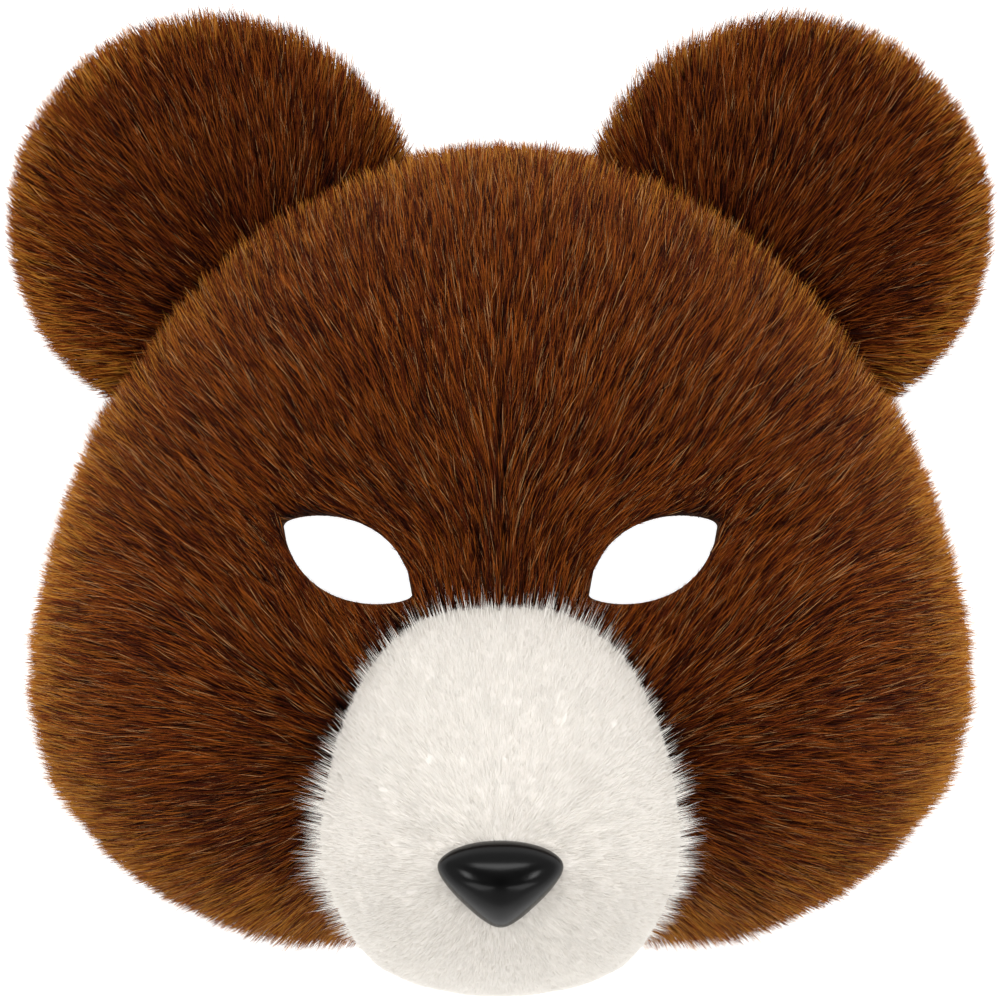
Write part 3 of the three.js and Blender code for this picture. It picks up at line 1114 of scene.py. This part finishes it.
@dataclass
class Ear:
    """A round padded ear that is seated against the face wall, with pile all round.

    Points are given for the right ear, lifts in degrees.
    """

    side: Side
    x: float = 64.2
    y: float = 62.4
    radius: float = 42.0
    half_thick: float = 7.0
    middle_z: float = 9.5
    edge_power: float = 0.75
    finer: int = 5
    root: tuple = (45.0, 31.0)
    seat: float = 0.5
    drift: Ripple = Ripple(0.12, 34.0, 1.4)
    cut: PileCut = PileCut(strands=48000, per_clump=2, spread=0.24, length=9.5, uneven=0.12, root_lift=38.0,
                           tip_lift=12.0, width=0.18, gather=0.4, sway=0.3, stray=0.12, rows=2, glint=0.03)
    back_dense: float = 0.45
    clear: float = 1.2
    rim: Band = Band(0.35, 0.95)
    rim_lift: float = 26.0
    rim_trim: float = 0.30
    reach: float = 49.4
    reach_uneven: float = 0.8
    reach_middle: tuple = (62.5, 64.4)
    mottle: Ripple = Ripple(0.08, 26.0, 0.7)
    darker: float = 0.07
    limit: float = 0.76
    # Painted rim light: the strands in a band along the ear's edge are lighter, and also wider.
    band: Band = Band(31.0, 43.0)
    edge_light: float = 0.34
    band_width: float = 0.5
    # Painted shade: strands near the ear's root, where it meets the face, are darker.
    root_fade: Band = Band(30.0, 62.0)
    root_darker: float = 0.05
    lightest: float = 0.9

    @property
    def name(self) -> str:
        """Name of the ear's CAD node."""
        return "ear_" + self.side.name.lower()

    def away_from(self, point: tuple, places: Array) -> Array:
        """Returns how far places lie from a point of the ear, as seen from the front."""
        return np.hypot(places[:, 0] - self.side.value * point[0], places[:, 1] - point[1])

    def over(self, places: Array, margin: float) -> Array:
        """Returns whether each place lies behind or in front of the ear's disc, with a margin."""
        return self.away_from((self.x, self.y), places) < self.radius + margin

    def pad(self, face: BVHTree) -> bpy.types.Mesh:
        """Makes the padded disc and presses it against the face wall.

        Args:
            face: The face's backing.
        Returns:
            The pad's mesh.
        """
        shape = bmesh.new()
        bmesh.ops.create_icosphere(shape, subdivisions=self.finer, radius=1.0)
        for vert in shape.verts:
            across = max(math.hypot(vert.co.x, vert.co.y), 1e-6)
            reach = self.radius * across ** self.edge_power / across
            height = math.copysign(abs(vert.co.z) ** self.edge_power, vert.co.z)
            vert.co = Vector((self.side.value * self.x + vert.co.x * reach, self.y + vert.co.y * reach,
                              self.middle_z + self.half_thick * height)) * MM
            hit, normal, _, _ = face.find_nearest(vert.co)
            if hit is not None and (vert.co - hit).dot(normal) < self.seat * MM:
                vert.co = hit + normal * self.seat * MM
        bmesh.ops.recalc_face_normals(shape, faces=shape.faces)
        return mesh_of(shape, self.name + "_pad")

    def flow(self, places: Array) -> Array:
        """Directions of the pile: in a fan from the ear's root.

        Args:
            places: Roots.
        Returns:
            Wanted directions.
        """
        away = np.zeros_like(places)
        away[:, 0] = places[:, 0] - self.side.value * self.root[0]
        away[:, 1] = places[:, 1] - self.root[1]
        return turned_flat(away, self.drift.at(places[:, 0], places[:, 1], self.side.value))

    def pile(self, ground: Ground, face: BVHTree, rng: np.random.Generator) -> Strands:
        """Grows the pile, clear of the face and trimmed to the ear's round outline.

        Args:
            ground: The pad.
            face: The face's backing.
            rng: Source of chance.
        Returns:
            The strands of the ear.
        """
        def denser(places: Array) -> Array:
            """Returns how dense the pile grows, which is less behind the ear."""
            return np.where(places[:, 2] > self.middle_z, 1.0, self.back_dense)

        hair = self.cut.grow(ground, self.flow, rng, denser)
        hair = hair.kept(np.abs(heights_above(face, hair.root)) > self.clear)
        rim = self.rim.ease(1.0 - np.abs(hair.normal[:, 2]))
        hair.root_lift += np.radians(self.rim_lift) * rim
        hair.tip_lift += np.radians(self.rim_lift) * rim
        hair.length *= 1.0 - self.rim_trim * rim
        reach = self.reach + rng.normal(0.0, self.reach_uneven, len(rim))
        hair.cut_at(lambda places: self.away_from(self.reach_middle, places) > reach)
        hair.shade += self.mottle.at(hair.root[:, 0], hair.root[:, 1]) - self.darker
        # Painted rim light along the ear's edge.
        band = self.band.ease(self.away_from(self.reach_middle, hair.root))
        # Painted shade where the ear meets the face.
        in_seat_shade = 1.0 - self.root_fade.ease(self.away_from(self.root, hair.root))
        hair.tone(self.limit, self.edge_light * band - self.root_darker * in_seat_shade, self.lightest)
        hair.width *= 1.0 + self.band_width * band
        return hair

    def build(self, face: BVHTree, looks: Finishes, rng: np.random.Generator) -> None:
        """Makes the pad and its pile.

        Args:
            face: The face's backing.
            looks: The finishes.
            rng: Source of chance.
        """
        mesh = self.pad(face)
        ground = Ground(mesh)
        pad = Pieces.add(mesh, looks.brown_cloth.material(), Slot.BROWN, self.name)
        pile = self.pile(ground, face, rng).mesh(self.name + "_pile", self.cut.rows)
        Pieces.add(pile, looks.brown_pile.material(), Slot.BROWN, self.name)


@dataclass
class Muzzle:
    """White short pile over the muzzle wall, combed away from the nose.

    A fringe of longer strands stands at its sides and its seam, and a brim of strands at the nose.
    Lifts are in degrees.
    """

    skin: Skin = Skin("muzzle_backing", core=(0.0, -64.8, 38.0), thickness=1.5)
    nose: tuple = (0.0, -80.0, 96.0)
    lift: float = 1.7
    fuller: float = 1.8
    fuller_facing: Band = Band(0.3, 0.9)
    under_facing: float = -0.9
    rim_height: float = 14.0
    cut: PileCut = PileCut(strands=150000, per_clump=3, spread=0.5, length=2.4, uneven=0.08, root_lift=16.0,
                           tip_lift=8.0, width=0.13, gather=0.1, sway=0.0, stray=0.07, rows=1, streak=0.02)
    nose_share: float = 0.86
    chin_facing: Band = Band(0.2, 0.8)
    chin_gap: Band = Band(4.0, 12.0)
    side_facing: Band = Band(0.45, 0.9)
    seam_gap: Band = Band(2.0, 8.0)
    tufts: Ripple = Ripple(0.8, 6.0, 1.9)
    long_share: float = 0.15
    long_growth: tuple = (1.8, 4.2)
    long_root_lift: float = 36.0
    long_tip_lift: float = 34.0
    fringe_lift: float = 14.0
    brim_share: float = 1.12
    brim_above: float = 4.0
    brim_chance: float = 0.5
    brim_lift: float = 75.0
    mottle: Ripple = Ripple(0.06, 24.0, 0.4)
    lighter: float = 0.12
    sink: float = 0.3

    def backing(self, node: bpy.types.Object) -> bpy.types.Mesh:
        """Makes the cloth over the muzzle wall's outer face.

        Args:
            node: The muzzle wall.
        Returns:
            The cloth's outer sheet.
        """
        def covered(middle: Vector, normal: Vector) -> bool:
            """Returns whether the cloth covers a face of the wall."""
            return normal.z > self.under_facing and middle.z > self.rim_height

        def lift(normal: Vector) -> float:
            """Returns the cloth's height above the wall, which is fuller at the chin and the bridge."""
            return self.lift + self.fuller * float(self.fuller_facing.ease(abs(normal.y)))

        return self.skin.of_wall(node, covered, lift)

    def flow(self, places: Array) -> Array:
        """Returns the directions of the pile: away from the nose on every side."""
        return unit(places - np.array(self.nose))

    def pile(self, ground: Ground, face: BVHTree, nose: "Nose", rng: np.random.Generator) -> Strands:
        """Grows the pile in front of the face, with its fringe and its brim.

        Args:
            ground: The backing.
            face: The face's backing.
            nose: The nose, under which nothing grows.
            rng: Source of chance.
        Returns:
            The strands of the muzzle.
        """
        hair = self.cut.grow(ground, self.flow, rng)
        hair = hair.kept(~nose.over(hair.root, self.nose_share))
        gap = heights_above(face, hair.root)
        hair = hair.kept(gap > 0.0)
        gap = gap[gap > 0.0]
        count = len(gap)
        chin = self.chin_facing.ease(-hair.normal[:, 1]) * self.chin_gap.ease(gap)
        side = self.side_facing.ease(1.0 - hair.normal[:, 2])
        fringe = np.maximum(side, 1.0 - self.seam_gap.ease(gap)) * (1.0 - chin)
        tufts = 1.0 + self.tufts.at(hair.root[:, 0], hair.root[:, 1])
        long = rng.random(count) < self.long_share * tufts * fringe
        hair.length *= np.where(long, rng.uniform(*self.long_growth, count), 1.0)
        hair.root_lift += np.radians(np.where(long, self.long_root_lift, self.fringe_lift)) * fringe
        hair.tip_lift += np.radians(np.where(long, self.long_tip_lift, self.fringe_lift)) * fringe
        brim = nose.over(hair.root, self.brim_share) & (hair.root[:, 1] > nose.centre_y + self.brim_above)
        brim &= rng.random(count) < self.brim_chance
        hair.flow = np.where(brim[:, None], -hair.flow, hair.flow)
        hair.root_lift = np.where(brim, np.radians(self.brim_lift), hair.root_lift)
        hair.shade += self.mottle.at(hair.root[:, 0], hair.root[:, 1]) + self.lighter
        return hair.kept(heights_above(face, hair.path(1.0)[0]) > -self.sink)

    def build(self, node: bpy.types.Object, face: BVHTree, nose: "Nose", looks: Finishes,
              rng: np.random.Generator) -> None:
        """Makes the backing and the pile.

        Args:
            node: The muzzle wall.
            face: The face's backing.
            nose: The nose.
            looks: The finishes.
            rng: Source of chance.
        """
        sheet = self.backing(node)
        ground = Ground(sheet)
        cloth = Pieces.add(sheet, looks.white_cloth.material(), Slot.WHITE, "muzzle_fur")
        self.skin.thicken(cloth)
        pile = self.pile(ground, face, nose, rng).mesh("muzzle_pile", self.cut.rows)
        Pieces.add(pile, looks.white_pile.material(), Slot.WHITE, "muzzle_fur")


@dataclass
class Nose:
    """Glossy nose, a rounded triangle with a soft ridge down its middle.

    The widths, middles and depths belong to the levels, which run from its foot to its top.
    """

    centre_y: float = -83.3
    half_height: float = 9.7
    levels: tuple = (-1.0, -0.5, 0.0, 0.5, 1.0)
    widths: tuple = (6.0, 8.7, 12.0, 16.0, 18.0)
    middles: tuple = (92.0, 94.5, 96.5, 97.0, 97.0)
    depths: tuple = (8.0, 9.0, 9.0, 8.5, 8.0)
    ridge: float = 0.35
    ridge_width: float = 2.2
    finer: int = 5
    smoothing: int = 4
    seat: float = 0.4
    above: float = 140.0
    muzzle_front: float = 70.0

    def over(self, places: Array, share: float) -> Array:
        """Returns whether each place lies behind the nose, within a share of its outline."""
        level = (places[:, 1] - self.centre_y) / self.half_height
        width = np.interp(level, self.levels, self.widths)
        across = places[:, 0] / width
        return (across ** 2 + level ** 2 < share ** 2) & (places[:, 2] > self.muzzle_front)

    def build(self, muzzle: BVHTree, looks: Finishes) -> None:
        """Makes the nose and seats its back on the muzzle wall.

        Args:
            muzzle: The muzzle wall.
            looks: The finishes.
        """
        shape = bmesh.new()
        bmesh.ops.create_icosphere(shape, subdivisions=self.finer, radius=1.0)
        for vert in shape.verts:
            level = vert.co.y
            width, middle, depth = (float(np.interp(level, self.levels, sizes))
                                    for sizes in (self.widths, self.middles, self.depths))
            ridge = self.ridge * math.exp(-(vert.co.x * width / self.ridge_width) ** 2) * max(vert.co.z, 0.0)
            vert.co = Vector((vert.co.x * width, self.centre_y + level * self.half_height,
                              middle + vert.co.z * depth + ridge)) * MM
        smooth_out(shape, list(shape.verts), self.smoothing)
        for vert in shape.verts:
            hit = muzzle.ray_cast(Vector((vert.co.x, vert.co.y, self.above * MM)), DOWN)[0]
            if hit is not None:
                vert.co.z = max(vert.co.z, hit.z + self.seat * MM)
        bmesh.ops.recalc_face_normals(shape, faces=shape.faces)
        Pieces.add(mesh_of(shape, "nose_cap"), looks.nose.material(), Slot.NOSE, "nose")


@dataclass(frozen=True)
class Lamp:
    """A soft lamp that points at the mask, in metres and watts."""

    name: str
    place: tuple
    size: tuple
    power: float

    def hang(self) -> None:
        """Puts the lamp into the scene."""
        data = bpy.data.lights.new(self.name, "AREA")
        data.shape = "RECTANGLE"
        data.size, data.size_y = self.size
        data.energy = self.power
        lamp = bpy.data.objects.new(self.name, data)
        lamp.location = self.place
        lamp.rotation_euler = (-Vector(self.place)).to_track_quat("-Z", "Y").to_euler()
        bpy.context.scene.collection.objects.link(lamp)


@dataclass
class Studio:
    """Pale floor, soft light and the photograph's camera.

    The glow pairs a height on the dome with its brightness. The lamps are a long one above the ears,
    one at each side and two low ones.
    """

    frame_width: float = 225.2
    distance: float = 3000.0
    level: float = 15.0
    middle_y: float = 0.725
    sensor: float = 36.0
    clip: tuple = (0.1, 200.0)
    floor_reach: float = 40.0
    floor_cells: int = 8
    floor_tones: tuple = ((0.0, (0.38, 0.38, 0.38)), (1.0, (0.4, 0.4, 0.4)))
    floor_grain: tuple = (2.0, 2.0, 0.5)
    floor_roughness: float = 0.9
    glow: tuple = ((0.0, 1.05), (0.45, 0.95), (0.75, 0.42), (1.0, 0.14))
    lamps: tuple = (
        Lamp("key", (0.0, 1.6, 1.65), (2.2, 0.6), 36.0),
        Lamp("side_left", (-1.3, 0.05, 1.35), (0.5, 0.3), 6.5),
        Lamp("side_right", (1.3, 0.05, 1.35), (0.5, 0.3), 6.5),
        Lamp("low_left", (-1.2, -1.3, 1.2), (0.9, 0.9), 9.0),
        Lamp("low_right", (1.2, -1.3, 1.2), (0.9, 0.9), 9.0))

    def camera(self) -> None:
        """Sets the camera straight above the face, far away with a long lens."""
        data = bpy.data.cameras.new("camera")
        data.sensor_width = self.sensor
        data.lens = self.sensor * self.distance / self.frame_width
        data.clip_start, data.clip_end = self.clip
        camera = bpy.data.objects.new("camera", data)
        camera.location = (0.0, self.middle_y * MM, (self.level + self.distance) * MM)
        bpy.context.scene.collection.objects.link(camera)
        bpy.context.scene.camera = camera

    def floor(self) -> None:
        """Lays a wide pale floor under the mask."""
        shape = bmesh.new()
        bmesh.ops.create_grid(shape, x_segments=self.floor_cells, y_segments=self.floor_cells,
                              size=self.floor_reach)
        mesh = mesh_of(shape, "floor")
        shader = Shader("pale floor")
        tone = shader.colours(shader.noise(*self.floor_grain), self.floor_tones)
        shader.join(tone, shader.surface.inputs["Base Color"])
        shader.set(Roughness=self.floor_roughness, Emission_Color=(1.0, 1.0, 1.0, 1.0), Emission_Strength=1.0)
        mesh.materials.append(shader.material)
        floor = bpy.data.objects.new("floor", mesh)
        bpy.context.scene.collection.objects.link(floor)

    def dome(self) -> None:
        """Sets a pale dome that is bright at the sides and dim overhead."""
        world = bpy.data.worlds.new("pale dome")
        world.use_nodes = True
        tree = world.node_tree
        place = tree.nodes.new("ShaderNodeTexCoord")
        parts = tree.nodes.new("ShaderNodeSeparateXYZ")
        fade = tree.nodes.new("ShaderNodeValToRGB")
        band = fade.color_ramp.elements
        while len(band) < len(self.glow):
            band.new(0.5)
        for element, (height, glow) in zip(band, self.glow):
            element.position = height
            element.color = (glow, glow, glow, 1.0)
        tree.links.new(place.outputs["Generated"], parts.inputs["Vector"])
        tree.links.new(parts.outputs["Z"], fade.inputs["Fac"])
        tree.links.new(fade.outputs["Color"], tree.nodes["Background"].inputs["Color"])
        bpy.context.scene.world = world

    def build(self) -> None:
        """Sets up the camera, the floor and the light."""
        self.camera()
        self.floor()
        self.dome()
        bpy.context.scene.view_settings.view_transform = "Standard"
        for lamp in self.lamps:
            lamp.hang()


def main() -> None:
    """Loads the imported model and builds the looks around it."""
    logging.basicConfig(level=logging.INFO, format="%(name)s %(message)s")
    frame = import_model()
    looks = Finishes()
    rng = np.random.default_rng(SEED)
    Studio().build()
    nodes = frame["nodes"]
    for name, finish in (("face_shell", looks.wall), ("muzzle_shell", looks.wall), ("nose_post", looks.stud)):
        Pieces.finish_node(nodes[name], finish.material())
    ears = [Ear(Side.LEFT), Ear(Side.RIGHT)]
    face = surface_of(FaceCover().build(nodes["face_shell"], ears, looks, rng))
    for ear in ears:
        ear.build(face, looks, rng)
    nose = Nose()
    Muzzle().build(nodes["muzzle_shell"], face, nose, looks, rng)
    nose.build(surface_of(nodes["muzzle_shell"].data), looks)


if __name__ == "__main__":
    main()
